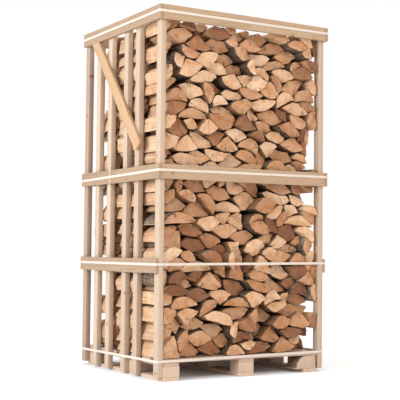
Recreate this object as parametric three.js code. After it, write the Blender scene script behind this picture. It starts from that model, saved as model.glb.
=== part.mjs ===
// A tall slatted crate of split firewood on a block pallet, tied round with plastic straps.
// Millimetres, +Z up. The origin is the middle of the footprint on the ground, and the open front faces -Y.
import * as THREE from "three";

// Driving dimensions
const WIDTH = 1150; // over the side rails, along X
const DEPTH = 1000; // over the front and back rails, along Y
const HEIGHT = 2050; // ground to the top of the top rails
const RAIL = { height: 80, thickness: 20 }; // horizontal boards and braces
const BATTEN = { width: 50, thickness: 32 }; // posts and slats
const GAP = 0.3; // between pieces that touch
const POST_FOOT = 20; // posts stop this far above the ground
const SLAT_FOOT = 12;
const BATTEN_TOP = 2044;

// Lower edge of each level of rails
const TOP_RAIL_Z = HEIGHT - RAIL.height;
const MIDDLE_RAIL_Z = 1097;
const LOWER_RAIL_Z = 583;

// Front edge of each batten on a side panel, measured back from the front of the crate
const SIDE_BATTENS = [
  { name: "front_post", y: 20, foot: POST_FOOT },
  { name: "slat_1", y: 274, foot: SLAT_FOOT },
  { name: "slat_2", y: 419, foot: SLAT_FOOT },
  { name: "slat_3", y: 630, foot: SLAT_FOOT },
  { name: "slat_4", y: 790, foot: SLAT_FOOT },
  { name: "back_post", y: 950, foot: POST_FOOT },
];

// The brace's centreline, from under the top rail down to the first slat behind the front post
const BRACE = { width: 74, topY: 800, bottomY: 244, bottomZ: 1288, clippedCorner: 14 };

// Pallet
const SKID = { width: 100, height: 20 };
const BLOCK = { width: 105, middleWidth: 98, length: 98, middleLength: 145, height: 59.4 };
const MIDDLE_BLOCK_Y = 360; // front face of the middle row, from the front of the crate
const MIDDLE_SKID_X = 19; // the middle skid stands a little off centre
const STRINGER = { width: 98, height: 18 };
const DECK_BOARD = { width: 98, height: 18, count: 7 };
const WANEY_BLOCK = { width: 140, height: 77.7, inset: 16, radius: 73 }; // the block cut from a log, with one round edge

// Straps
const STRAP = { width: 14, thickness: 1.2, standOff: 1.6, cornerRadius: 4 };
const TAIL = { width: 8, thickness: 1, y: 602, top: 1181, bottom: 1082 };

// Firewood: three rows of logs from front to back, each in three stacks side by side
const LOG_ROWS = ["front", "middle", "back"];
const LOG_STACKS = ["left", "centre", "right"];
const LOAD_TOP = 1990; // mean height of the heap
const LOAD_WAVE = 20; // how far its top rises and falls
const LOAD_STEPS = 6; // stretches along the top of one stack

// Places that follow from the dimensions
const halfWidth = WIDTH / 2;
const halfDepth = DEPTH / 2;
const battenOuterX = halfWidth - RAIL.thickness;
const battenInnerX = battenOuterX - BATTEN.thickness;
const insideX = battenInnerX - GAP;
const frontY = RAIL.thickness; // front face of the posts, from the front of the crate
const backRailY = DEPTH - BATTEN.width - RAIL.thickness; // the back rails are inside the back posts
const blockZ = SKID.height + GAP;
const stringerZ = blockZ + BLOCK.height + GAP;
const deckZ = stringerZ + STRINGER.height + GAP;
const loadZ = deckZ + DECK_BOARD.height + GAP;

const paleWood = new THREE.MeshStandardMaterial({ color: 0xe3c9ab, roughness: 0.75, metalness: 0 });
const tanWood = new THREE.MeshStandardMaterial({ color: 0xc9a272, roughness: 0.75, metalness: 0 });
const palletWood = new THREE.MeshStandardMaterial({ color: 0xcfae8a, roughness: 0.8, metalness: 0 });
const splitWood = new THREE.MeshStandardMaterial({ color: 0xd0a47a, roughness: 0.85, metalness: 0 });
const strapPlastic = new THREE.MeshStandardMaterial({ color: 0xeee9e4, roughness: 0.35, metalness: 0 });

const crate = new THREE.Group();

// Adds a named mesh to the crate.
function add(name, geometry, material) {
  const mesh = new THREE.Mesh(geometry, material);
  mesh.name = name;
  crate.add(mesh);
  return mesh;
}

// Adds a box from its lowest to its highest corner. Y is measured back from the front of the crate.
function addBox(name, material, low, high) {
  const size = high.map((value, i) => value - low[i]);
  const mesh = add(name, new THREE.BoxGeometry(...size), material);
  mesh.position.set(
    low[0] + size[0] / 2,
    low[1] + size[1] / 2 - halfDepth,
    low[2] + size[2] / 2,
  );
}

// An extrusion along Y of an outline drawn in X and Z, from front to back.
function extrudeAlongY(outline, front, back) {
  const geometry = new THREE.ExtrudeGeometry(outline, { depth: back - front, bevelEnabled: false, curveSegments: 8 });
  geometry.rotateX(Math.PI / 2); // the outline's second axis becomes Z, and its depth runs to -Y
  geometry.translate(0, back - halfDepth, 0);
  return geometry;
}

// Posts, slats, rails and brace of one side. side is -1 for the left and 1 for the right.
function addSidePanel(label, side) {
  const outer = side * battenOuterX;
  const inner = side * battenInnerX;
  for (const batten of SIDE_BATTENS) {
    addBox(
      `${label}_${batten.name}`,
      paleWood,
      [Math.min(outer, inner), batten.y, batten.foot],
      [Math.max(outer, inner), batten.y + BATTEN.width, BATTEN_TOP],
    );
  }
  const railInner = side * (battenOuterX + GAP);
  const railX = [Math.min(side * halfWidth, railInner), Math.max(side * halfWidth, railInner)];
  const rails = [
    { name: "top_rail", z: TOP_RAIL_Z, from: 0, to: DEPTH },
    { name: "middle_rail", z: MIDDLE_RAIL_Z, from: 0, to: DEPTH },
    { name: "lower_rail", z: LOWER_RAIL_Z, from: frontY, to: DEPTH },
  ];
  for (const rail of rails) {
    addBox(
      `${label}_${rail.name}`,
      paleWood,
      [railX[0], rail.from, rail.z],
      [railX[1], rail.to, rail.z + RAIL.height],
    );
  }
  addBrace(`${label}_brace`, railX);
}

// The sloping board under the top rail: cut level at the top, with clipped corners at the bottom.
function addBrace(name, railX) {
  const top = TOP_RAIL_Z - GAP;
  const run = BRACE.topY - BRACE.bottomY;
  const rise = top - BRACE.bottomZ;
  const length = Math.hypot(run, rise);
  const along = [run / length, rise / length];
  const across = [-along[1], along[0]];
  const half = BRACE.width / 2;
  const clip = BRACE.clippedCorner;
  const at = (distance, offset) => new THREE.Vector2(
    BRACE.bottomY + along[0] * distance + across[0] * offset,
    BRACE.bottomZ + along[1] * distance + across[1] * offset,
  );
  const levelReach = (half * along[0]) / along[1]; // how much longer one edge is at the level cut
  const outline = new THREE.Shape([
    at(clip, -half),
    at(length + levelReach, -half),
    at(length - levelReach, half),
    at(clip, half),
    at(0, half - clip),
    at(0, clip - half),
  ].reverse());
  const thickness = railX[1] - railX[0];
  const geometry = new THREE.ExtrudeGeometry(outline, { depth: thickness, bevelEnabled: false });
  // The outline's axes become Y and Z, and its depth runs along X.
  geometry.applyMatrix4(new THREE.Matrix4().makeBasis(
    new THREE.Vector3(0, 1, 0),
    new THREE.Vector3(0, 0, 1),
    new THREE.Vector3(1, 0, 0),
  ));
  geometry.translate(railX[0], -halfDepth, 0);
  add(name, geometry, tanWood);
}

// The rails across the front, on the posts, and across the back, inside the posts.
function addCrossRails() {
  const reach = battenOuterX - GAP;
  for (const [label, from] of [["front", 0], ["back", backRailY]]) {
    for (const [level, z] of [["top_rail", TOP_RAIL_Z], ["middle_rail", MIDDLE_RAIL_Z]]) {
      addBox(
        `${label}_${level}`,
        paleWood,
        [-reach, from, z],
        [reach, from + RAIL.thickness - GAP, z + RAIL.height],
      );
    }
  }
}

// Skids, blocks, stringers and deck boards. The front right block is cut from the side of a log.
function addPallet() {
  const outerX = insideX - BLOCK.width / 2;
  const columns = [
    { name: "left", x: -outerX, width: BLOCK.width },
    { name: "middle", x: MIDDLE_SKID_X, width: BLOCK.middleWidth },
    { name: "right", x: outerX, width: BLOCK.width },
  ];
  const first = frontY + GAP;
  const last = DEPTH - frontY - GAP;
  const rows = [
    { name: "front", from: first, to: first + BLOCK.length },
    { name: "middle", from: MIDDLE_BLOCK_Y, to: MIDDLE_BLOCK_Y + BLOCK.middleLength },
    { name: "back", from: last - BLOCK.length, to: last },
  ];
  for (const column of columns) {
    addBox(
      `pallet_skid_${column.name}`,
      palletWood,
      [column.x - SKID.width / 2, first, 0],
      [column.x + SKID.width / 2, last, SKID.height],
    );
    for (const row of rows) {
      const name = `pallet_block_${row.name}_${column.name}`;
      const left = column.x - column.width / 2;
      const right = column.x + column.width / 2;
      if (row.name === "front" && column.name === "right") {
        addWaneyBlock(name, insideX - WANEY_BLOCK.inset, row.from, row.to);
        continue;
      }
      addBox(name, palletWood, [left, row.from, blockZ], [right, row.to, blockZ + BLOCK.height]);
    }
    // The right stringer stops behind the block cut from a log, which reaches the deck.
    addBox(
      `pallet_stringer_${column.name}`,
      palletWood,
      [column.x - STRINGER.width / 2, column.name === "right" ? rows[0].to + 2 : first, stringerZ],
      [column.x + STRINGER.width / 2, last, stringerZ + STRINGER.height],
    );
  }
  const pitch = (last - first - DECK_BOARD.width) / (DECK_BOARD.count - 1);
  for (let i = 0; i < DECK_BOARD.count; i++) {
    const front = first + i * pitch;
    addBox(
      `pallet_deck_board_${i + 1}`,
      palletWood,
      [-insideX, front, deckZ],
      [insideX, front + DECK_BOARD.width, deckZ + DECK_BOARD.height],
    );
  }
}

// A block whose upper inner edge is the round outside of a log.
function addWaneyBlock(name, right, from, to) {
  const { width, height, radius } = WANEY_BLOCK;
  const left = right - width;
  const top = blockZ + height;
  const outline = new THREE.Shape();
  outline.moveTo(left, blockZ);
  outline.lineTo(right, blockZ);
  outline.lineTo(right, top);
  outline.lineTo(left + radius, top);
  outline.absarc(left + radius, top - radius, radius, Math.PI / 2, Math.PI, false);
  outline.closePath();
  add(name, extrudeAlongY(outline, from, to), palletWood);
}

// A rectangle with round corners, centred on the origin, as a closed path.
function roundedRectangle(path, halfX, halfY, radius) {
  path.moveTo(halfX - radius, -halfY);
  path.absarc(halfX - radius, -halfY + radius, radius, -Math.PI / 2, 0, false);
  path.absarc(halfX - radius, halfY - radius, radius, 0, Math.PI / 2, false);
  path.absarc(-halfX + radius, halfY - radius, radius, Math.PI / 2, Math.PI, false);
  path.absarc(-halfX + radius, -halfY + radius, radius, Math.PI, Math.PI * 1.5, false);
  path.closePath();
  return path;
}

// A closed band round the crate. reachX and front are what it is pulled round, centreZ is its height.
function addStrap(name, reachX, front, centreZ) {
  const innerX = reachX + STRAP.standOff;
  const innerY = (DEPTH - front) / 2 + STRAP.standOff;
  const outline = roundedRectangle(
    new THREE.Shape(),
    innerX + STRAP.thickness,
    innerY + STRAP.thickness,
    STRAP.cornerRadius + STRAP.thickness,
  );
  outline.holes.push(roundedRectangle(new THREE.Path(), innerX, innerY, STRAP.cornerRadius));
  const geometry = new THREE.ExtrudeGeometry(outline, { depth: STRAP.width, bevelEnabled: false, curveSegments: 4 });
  geometry.translate(0, front / 2, centreZ - STRAP.width / 2);
  add(name, geometry, strapPlastic);
}

function addStraps() {
  const railCentre = RAIL.height / 2;
  addStrap("strap_top", halfWidth, 0, TOP_RAIL_Z + railCentre + 4);
  addStrap("strap_middle", halfWidth, 0, MIDDLE_RAIL_Z + railCentre + 6);
  addStrap("strap_lower", halfWidth, frontY, LOWER_RAIL_Z + railCentre + 10);
  addStrap("strap_bottom", battenOuterX, frontY, deckZ + DECK_BOARD.height / 2 + 1);
  // The loose end of the middle strap hangs between it and the left rail.
  const tailX = -halfWidth - GAP;
  addBox(
    "strap_tail",
    strapPlastic,
    [tailX - TAIL.thickness, TAIL.y - TAIL.width / 2, TAIL.bottom],
    [tailX, TAIL.y + TAIL.width / 2, TAIL.top],
  );
}

// The heap's height at a place across the crate.
function loadHeight(x, row) {
  return LOAD_TOP + LOAD_WAVE * Math.sin(x / 95 + row * 2.1) * Math.cos(x / 210 + row);
}

// One solid for each stack of logs, level at the sides and uneven on top.
function addFirewood() {
  const rowDepth = (backRailY - GAP - frontY) / LOG_ROWS.length;
  const stackWidth = (2 * insideX) / LOG_STACKS.length;
  LOG_ROWS.forEach((row, r) => {
    LOG_STACKS.forEach((stack, s) => {
      const left = -insideX + s * stackWidth + GAP / 2;
      const right = left + stackWidth - GAP;
      const outline = new THREE.Shape();
      outline.moveTo(left, loadZ);
      outline.lineTo(right, loadZ);
      for (let i = LOAD_STEPS; i >= 0; i--) {
        const x = left + ((right - left) * i) / LOAD_STEPS;
        outline.lineTo(x, loadHeight(x, r));
      }
      outline.closePath();
      const from = frontY + r * rowDepth + GAP;
      add(`firewood_${row}_${stack}`, extrudeAlongY(outline, from, from + rowDepth - 2 * GAP), splitWood);
    });
  });
}

addSidePanel("left", -1);
addSidePanel("right", 1);
addCrossRails();
addPallet();
addStraps();
addFirewood();

export default crate;
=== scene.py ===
"""Split firewood in a tall slatted crate on a pallet, tied round with straps: a Blender add-on."""

import math

import bpy
import numpy as np
from bpy.props import FloatProperty, FloatVectorProperty, IntProperty, PointerProperty
from mathutils import Matrix, Vector
from numpy.lib.stride_tricks import sliding_window_view


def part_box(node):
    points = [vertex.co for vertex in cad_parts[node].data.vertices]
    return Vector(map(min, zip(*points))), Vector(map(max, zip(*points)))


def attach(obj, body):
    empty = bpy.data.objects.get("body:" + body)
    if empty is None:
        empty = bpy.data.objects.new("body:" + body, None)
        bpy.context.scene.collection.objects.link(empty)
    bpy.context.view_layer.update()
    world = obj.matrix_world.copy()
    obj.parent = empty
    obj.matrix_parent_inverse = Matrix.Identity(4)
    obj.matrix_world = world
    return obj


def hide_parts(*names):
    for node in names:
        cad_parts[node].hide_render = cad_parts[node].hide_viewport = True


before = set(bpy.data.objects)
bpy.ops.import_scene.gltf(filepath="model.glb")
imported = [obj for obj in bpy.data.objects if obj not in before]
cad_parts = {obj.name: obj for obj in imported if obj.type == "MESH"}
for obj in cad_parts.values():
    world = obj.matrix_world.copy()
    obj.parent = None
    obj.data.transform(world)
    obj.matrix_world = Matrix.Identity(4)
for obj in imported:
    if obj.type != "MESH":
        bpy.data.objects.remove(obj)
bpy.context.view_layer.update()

bl_info = {
    "name": "Firewood crate",
    "version": (1, 0, 0),
    "blender": (4, 5, 0),
    "location": "View3D > Sidebar > Firewood",
    "description": "A slatted crate of split firewood on a pallet",
    "category": "Add Mesh",
}

SIDES = ("left", "right")
BATTENS = ("front_post", "slat_1", "slat_2", "slat_3", "slat_4", "back_post")
ROWS = ("front", "middle", "back")
STACKS = ("left", "centre", "right")
COLUMNS = ("left", "middle", "right")


def shade(red, green, blue):
    """A display colour in 0 to 255 as linear light."""
    shares = (channel / 255 for channel in (red, green, blue))
    return tuple(c / 12.92 if c < 0.041 else ((c + 0.055) / 1.055) ** 2.4 for c in shares)


def colour_property(name, description, default):
    """A colour with three channels."""
    return FloatVectorProperty(
        name=name, description=description, default=default, size=3, min=0.0, max=1.0, subtype="COLOR"
    )


def length_property(name, description, default):
    """A length in metres."""
    return FloatProperty(name=name, description=description, default=default, unit="LENGTH")


# ---------------------------------------------------------------- what a user would change


class TimberSettings(bpy.types.PropertyGroup):
    """The sawn boards and battens."""

    pale: colour_property("Pale wood", "Body colour of posts, slats and rails", shade(198, 175, 152))
    pale_line: colour_property("Pale wood grain", "Late wood lines in the pale boards", shade(170, 138, 110))
    rail: colour_property("Rail wood", "Body colour of the rails", shade(182, 152, 122))
    rail_line: colour_property("Rail grain", "Late wood lines in the rails", shade(150, 116, 86))
    brace: colour_property("Brace", "Body colour of the braces", shade(200, 162, 124))
    brace_line: colour_property("Brace grain", "Late wood lines in the braces", shade(160, 118, 80))
    pallet: colour_property("Pallet", "Body colour of the pallet's wood", shade(218, 192, 168))
    pallet_line: colour_property("Pallet grain", "Late wood lines in the pallet", shade(184, 148, 118))
    knot: colour_property("Knots", "Colour of the knots", shade(122, 78, 46))
    edge: length_property("Edge", "Rounding of sawn edges", 0.0022)
    bow: length_property("Bow", "How far a long board bows edgewise", 0.0018)


class LogSettings(bpy.types.PropertyGroup):
    """The split logs."""

    seed: IntProperty(name="Seed", description="Another heap of logs", default=11, min=0)
    area: FloatProperty(name="Log end", description="Middle size of a log's end", default=0.0053, unit="AREA")
    jitter: length_property("Stagger", "How unevenly the ends line up", 0.09)
    bevel: length_property("Bark thickness", "Thickness of the bark at a log's end", 0.003)
    end_dark: colour_property("Darkest end", "Sawn end of the darkest log", shade(124, 80, 50))
    end_warm: colour_property("Warm end", "Sawn end of a warm log", shade(180, 131, 94))
    end_peach: colour_property("Peach end", "Sawn end of a common log", shade(206, 164, 128))
    end_pale: colour_property("Palest end", "Sawn end of the palest log", shade(224, 191, 160))
    split: colour_property("Split face", "Wood along a split", shade(218, 178, 140))
    split_line: colour_property("Split fibres", "Dark fibres along a split", shade(170, 122, 84))
    bark: colour_property("Bark", "Ridges of the bark", shade(142, 116, 90))
    bark_deep: colour_property("Bark fissures", "Between the ridges of the bark", shade(66, 46, 30))


class StrapSettings(bpy.types.PropertyGroup):
    """The plastic straps."""

    colour: colour_property("Strap", "Colour of the plastic", shade(212, 196, 180))
    # groove paints shade in the embossed grooves and also tints the plastic's clouds.
    groove: colour_property("Strap grooves", "Colour in the embossed grooves", shade(188, 172, 156))
    nail: colour_property("Nails", "Colour of the nail heads", shade(132, 116, 102))


class StageSettings(bpy.types.PropertyGroup):
    """The floor, the light and the camera."""

    floor: colour_property("Floor", "Colour of the floor", (0.93, 0.93, 0.93))
    sky: FloatProperty(name="Sky", description="Strength of the light from all round", default=0.86)
    key: FloatProperty(name="Key", description="Main light", default=185.0, unit="POWER")
    fill: FloatProperty(name="Fill", description="Light from the slatted side", default=425.0, unit="POWER")
    lens: FloatProperty(name="Lens", description="Focal length", default=91.35, unit="CAMERA")


# ---------------------------------------------------------------- meshes


def box_of(node):
    """A node's lowest and highest corner as arrays."""
    low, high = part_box(node)
    return np.array(low), np.array(high)


def new_piece(name, points, faces, finishes, slots=None, fields=None, uv=None, sharp=34.0):
    """A piece from points (n, 3) and faces, with a material number for each face and fields of the points."""
    mesh = bpy.data.meshes.new(name)
    mesh.from_pydata(points.tolist(), [], faces)
    for finish in finishes:
        mesh.materials.append(finish)
    if slots is not None:
        mesh.polygons.foreach_set("material_index", np.asarray(slots, np.int32))
    for key, values in (fields or {}).items():
        values = np.asarray(values, np.float32)
        kind, channel = ("FLOAT_VECTOR", "vector") if values.ndim == 2 else ("FLOAT", "value")
        mesh.attributes.new(key, kind, "POINT").data.foreach_set(channel, values.ravel())
    if uv is not None:
        mesh.uv_layers.new(name="OFBake").data.foreach_set("uv", np.asarray(uv, np.float32).ravel())
    mesh.polygons.foreach_set("use_smooth", np.ones(len(mesh.polygons), bool))
    mesh.set_sharp_from_angle(angle=math.radians(sharp))
    mesh.update()
    piece = bpy.data.objects.new(name, mesh)
    bpy.context.scene.collection.objects.link(piece)
    return piece


def stand_for(piece, node):
    """Puts a piece in its node's place."""
    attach(piece, "root")
    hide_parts(node)
    return piece


def tube_faces(rings, around, closed=False):
    """Faces of a tube of rings with so many points around: joined up, or with a flat face at each end."""
    ring = np.arange(rings if closed else rings - 1)[:, None]
    k = np.arange(around)[None, :]
    start, ahead = ring * around, (ring + 1) % rings * around
    after = (k + 1) % around
    quads = np.stack([start + k, start + after, ahead + after, ahead + k], axis=-1).reshape(-1, 4).tolist()
    ends = [list(range(around))[::-1], list(range((rings - 1) * around, rings * around))]
    return quads if closed else quads + ends


def middled_tube(rings, around):
    """Quads of a tube of rings, and triangles from each end to its middle. The middles follow the rings."""
    quads = np.array(tube_faces(rings, around)[:-2])
    k = np.arange(around)
    after = (k + 1) % around
    last = (rings - 1) * around
    middle = np.full(around, rings * around)
    front = np.stack([middle, after, k], axis=-1)
    back = np.stack([middle + 1, last + k, last + after], axis=-1)
    return quads, np.vstack([front, back])


def rounded_outline(half_width, half_height, radius):
    """Twelve points round a rectangle whose corners are quarter circles of the radius, anticlockwise."""
    turn = np.radians([0, 45, 90])
    corners = []
    for quarter, (sx, sy) in enumerate(((1, 1), (-1, 1), (-1, -1), (1, -1))):
        angle = turn + quarter * math.pi / 2
        corners.append(
            np.c_[sx * (half_width - radius) + radius * np.cos(angle),
                  sy * (half_height - radius) + radius * np.sin(angle)]
        )
    return np.vstack(corners)


RING_EVERY = 0.16  # distance between the rings of a bar
WORN = 0.00012  # how far a bar's edges waver


def sawn_bar(low, high, along, seed, edge, bow, lean):
    """A sawn bar that fills a box. Returns points, faces and the grain field.

    The rounded rectangle of the bar's section is carried along axis `along`. At distance s the section is
    moved edgewise by bow * sin(pi * s / length) + lean * (s / length - 1/2), and its first and last ring are
    drawn in by the edge radius. The grain field is the place in the bar, (along, across, through), from the
    tree's pith.
    """
    rng = np.random.default_rng(seed)
    size = high - low
    across, through = [a for a in range(3) if a != along]
    if size[across] < size[through]:
        across, through = through, across
    length = size[along]
    steps = max(2, int(length / RING_EVERY))
    stations = np.r_[0.0, edge, np.linspace(edge, length - edge, steps + 1)[1:-1], length - edge, length]
    drawn = np.zeros(len(stations))
    drawn[[0, -1]] = edge
    outline = rounded_outline(size[across] / 2, size[through] / 2, edge)
    reach = np.array([size[across] / 2, size[through] / 2])
    scale = (reach[None, :] - drawn[:, None]) / reach[None, :]
    section = outline[None, :, :] * scale[:, None, :]
    share = stations / length
    shift = bow * np.sin(math.pi * share) * rng.choice([-1, 1]) + lean * (share - 0.5)
    worn = rng.normal(0, WORN, section.shape[:2])
    points = np.empty(section.shape[:2] + (3,))
    points[..., along] = low[along] + stations[:, None]
    points[..., across] = (low[across] + high[across]) / 2 + section[..., 0] + shift[:, None] + worn
    points[..., through] = (low[through] + high[through]) / 2 + section[..., 1]
    pith = rng.uniform(0.02, 0.09, 2) * rng.choice([-1, 1], 2)
    grain = np.empty_like(points)
    grain[..., 0] = stations[:, None] + rng.uniform(0, 40)
    grain[..., 1] = section[..., 0] + pith[0]
    grain[..., 2] = section[..., 1] + pith[1]
    faces = tube_faces(len(stations), len(outline))
    # The faces above look outwards when (across, through, along) is a right-handed set of axes.
    if (along - across) % 3 != 2:
        faces = [face[::-1] for face in faces]
    return points.reshape(-1, 3), faces, grain.reshape(-1, 3)


BRACE_HEIGHT = 0.074
BRACE_CLIP = 0.014  # how much the brace's lower corners are clipped by


def sloping_board(low, high, edge, seed):
    """The brace: a rounded board between a level cut at the top and clipped corners at the bottom.

    The board's outline in Y and Z is found from its box, and each point of it is carried through the
    thickness in four rings, the outer two drawn in by the edge radius.
    """
    height, clip = BRACE_HEIGHT, BRACE_CLIP
    rise, run = high[2] - low[2], high[1] - low[1]
    # The slope at which a board of this height just fits the box, by eight rounds of correction.
    slope = math.atan2(rise, run)
    for _ in range(8):
        slope = math.atan2(
            rise - (height / 2 - clip) * math.cos(slope),
            run - height * 0.5 * (1 / math.sin(slope)),
        )
    ahead = np.array([math.cos(slope), math.sin(slope)])
    aside = np.array([-math.sin(slope), math.cos(slope)])
    half = height / 2
    level = half * ahead[0] / ahead[1]
    start = np.array([low[1] + half * math.sin(slope), low[2] + (half - clip) * math.cos(slope)])
    length = (high[2] - start[1]) / ahead[1]
    corner = [(0, clip - half), (clip, -half), (length + level, -half), (length - level, half),
              (clip, half), (0, half - clip)]
    flat = np.array([start + ahead * s + aside * t for s, t in corner])
    outline, place = [], []
    for i, steps in enumerate((1, 12, 1, 12, 1, 1)):
        share = np.linspace(0, 1, steps + 1)[:-1, None]
        outline.append(flat[i] + (flat[(i + 1) % 6] - flat[i]) * share)
        a, b = np.array(corner[i]), np.array(corner[(i + 1) % 6])
        place.append(a + (b - a) * share)
    outline, place = np.vstack(outline), np.vstack(place)
    centre = outline.mean(axis=0)
    inner = outline + (centre - outline) / np.linalg.norm(centre - outline, axis=1)[:, None] * edge
    rings = [(low[0], inner), (low[0] + edge, outline), (high[0] - edge, outline), (high[0], inner)]
    points = np.vstack([np.c_[np.full(len(ring), x), ring] for x, ring in rings])
    place += [3.7 + seed, 0.05]
    grain = np.vstack([np.c_[place, np.full(len(place), x - low[0] + 0.03)] for x, _ in rings])
    return points, tube_faces(4, len(outline)), grain


def band(path, outward, width, thickness, closed):
    """A flat band along a path. Returns points, faces and the field (along, across, 0).

    At each point of the path the section is a flat strip of eight points, thickness / 2 to either side along
    `outward` in its middle and 0.35 * thickness at its edges, which are width / 2 away.
    """
    side = np.array([-0.5, -0.25, 0.25, 0.5, 0.5, 0.25, -0.25, -0.5]) * width
    rise = np.array([0.35, 0.5, 0.5, 0.35, -0.35, -0.5, -0.5, -0.35]) * thickness
    up = np.array([0.0, 0.0, 1.0])
    ahead = np.roll(path, -1, axis=0) - np.roll(path, 1, axis=0)
    if not closed:
        ahead[0], ahead[-1] = path[1] - path[0], path[-1] - path[-2]
    ahead /= np.linalg.norm(ahead, axis=1)[:, None]
    across = np.cross(outward, ahead)
    if closed:
        across = np.where(across @ up < 0, -1, 1)[:, None] * across
    points = path[:, None, :] + across[:, None, :] * side[None, :, None]
    points += outward[:, None, :] * rise[None, :, None]
    gone = np.r_[0, np.cumsum(np.linalg.norm(np.diff(path, axis=0), axis=1))]
    field = np.stack(np.broadcast_arrays(gone[:, None], side[None, :], 0.0), axis=-1)
    return points.reshape(-1, 3), tube_faces(len(path), len(side), closed), field.reshape(-1, 3)


def facing_out(points, faces):
    """Turns every face over if the closed mesh's signed volume, the sum of a . (b x c), is negative."""
    fans = np.array([(face[0], face[i], face[i + 1]) for face in faces for i in range(1, len(face) - 1)])
    a, b, c = points[fans].transpose(1, 0, 2)
    return faces if (a * np.cross(b, c)).sum() > 0 else [face[::-1] for face in faces]


# ---------------------------------------------------------------- split logs

ARC, FLANK, HEART = 13, 4, 3  # outline points along the bark, each split face and the heart
AROUND = ARC + 2 * FLANK + HEART
KINDS = (0.34, 0.42, 0.13, 0.11)  # shares of halves, quarters, quarters without their heart, and slabs
ANY_WAY = 0.3  # share of logs that lie any way round
LYING = (0.3, 0.7)  # of the others, shares with their bark up and down
BARK_ROUGH, SPLIT_ROUGH = 0.006, 0.017  # how far an outline's points move, beside the log's radius


def turned(angle):
    """The matrix that turns a point anticlockwise."""
    return np.array([[math.cos(angle), -math.sin(angle)], [math.sin(angle), math.cos(angle)]])


def split_outline(rng, area):
    """A split log's end. Returns its points, in metres, and the direction of the bark from the pith.

    The bark is an arc r(t) = 1 + 0.05 sin(2t + a) + 0.035 sin(3t + b) + 0.02 sin(7t + c) about the pith,
    from -half to half. Straight split faces run from its ends to a short face across the heart. Each point
    then moves a little, the split ones more, and the whole is scaled to its area and turned.
    """
    kind = rng.choice(4, p=KINDS)
    if kind == 0:  # a log split once, through the heart
        half = math.radians(rng.uniform(76, 94))
        heart, wide = rng.uniform(-0.03, 0.10), rng.uniform(0.25, 0.38)
    elif kind == 1:  # a quarter
        half = math.radians(rng.uniform(36, 58))
        heart = rng.uniform(0.05, 0.14)
        wide = heart * math.tan(half)
    elif kind == 2:  # a quarter with its heart split off
        half = math.radians(rng.uniform(38, 62))
        heart = rng.uniform(0.25, 0.42)
        wide = heart * math.tan(half)
    else:  # a slab from under the bark
        half = math.radians(rng.uniform(52, 66))
        heart = rng.uniform(0.38, 0.46)
        wide = heart * math.tan(half) * rng.uniform(0.8, 1.0)
    t = np.linspace(-half, half, ARC + 1)
    a, b, c = rng.uniform(0, 6.3, 3)
    r = 1 + 0.05 * np.sin(2 * t + a) + 0.035 * np.sin(3 * t + b) + 0.02 * np.sin(7 * t + c)
    arc = np.c_[r * np.sin(t), r * np.cos(t)]
    near = np.array([wide * rng.uniform(0.8, 1.2), heart + rng.uniform(-0.03, 0.03)])
    far = np.array([-wide * rng.uniform(0.8, 1.2), heart + rng.uniform(-0.03, 0.03)])

    def straight(start, end, count):
        share = np.linspace(0, 1, count + 1)[:-1, None]
        return start + (end - start) * share

    points = np.vstack(
        [arc[:-1], straight(arc[-1], near, FLANK), straight(near, far, HEART), straight(far, arc[0], FLANK)]
    )
    points[1:ARC] *= 1 + rng.normal(0, BARK_ROUGH, (ARC - 1, 1))
    points[ARC + 1:] += rng.normal(0, SPLIT_ROUGH, (AROUND - ARC - 1, 2))
    x, z = points.T
    covered = 0.5 * abs(np.dot(x, np.roll(z, -1)) - np.dot(z, np.roll(x, -1)))
    wanted = np.clip(rng.lognormal(math.log(area), 0.30), area * 0.52, area * 1.65)
    squash = rng.uniform(0.93, 1.1)
    scale = math.sqrt(wanted / covered) * np.array([squash, 1 / squash])
    lying = rng.choice([0, math.pi], p=LYING) + rng.normal(0, 0.4)
    turn = rng.uniform(0, 2 * math.pi) if rng.random() < ANY_WAY else lying
    return (points * scale) @ turned(turn).T, turn


COLUMN = 0.004  # width of the columns in which a log's fit is measured


def profiles(points):
    """Where an outline's first column starts, and its lower and upper edge in each column."""
    start = np.argmin(points[:, 0])
    round_it = np.roll(points, -start, axis=0)
    far = np.argmax(round_it[:, 0])
    one, other = round_it[: far + 1], np.vstack([round_it[far:], round_it[:1]])[::-1]
    width = round_it[far, 0] - round_it[0, 0]
    count = int(math.ceil(width / COLUMN)) + 1
    x = round_it[0, 0] + np.arange(count) * COLUMN - (count * COLUMN - width) / 2 + COLUMN / 2
    edges = [np.interp(x, np.maximum.accumulate(c[:, 0]), c[:, 1]) for c in (one, other)]
    return x[0] - COLUMN / 2, np.minimum(*edges), np.maximum(*edges)


WHOLE, THIN = 700, 200  # how many logs, and then thin ones, are made to choose from
THIN_SHARE = 0.4  # a thin log's area beside a whole one's
MOST = 440  # more logs than a row has room for
PICKS = 45  # logs tried for each place
GAP = 0.005  # air left over a log, which the heap loses when it settles
OVER = 0.022  # how far a log may stand over the mean height of the heap


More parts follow.
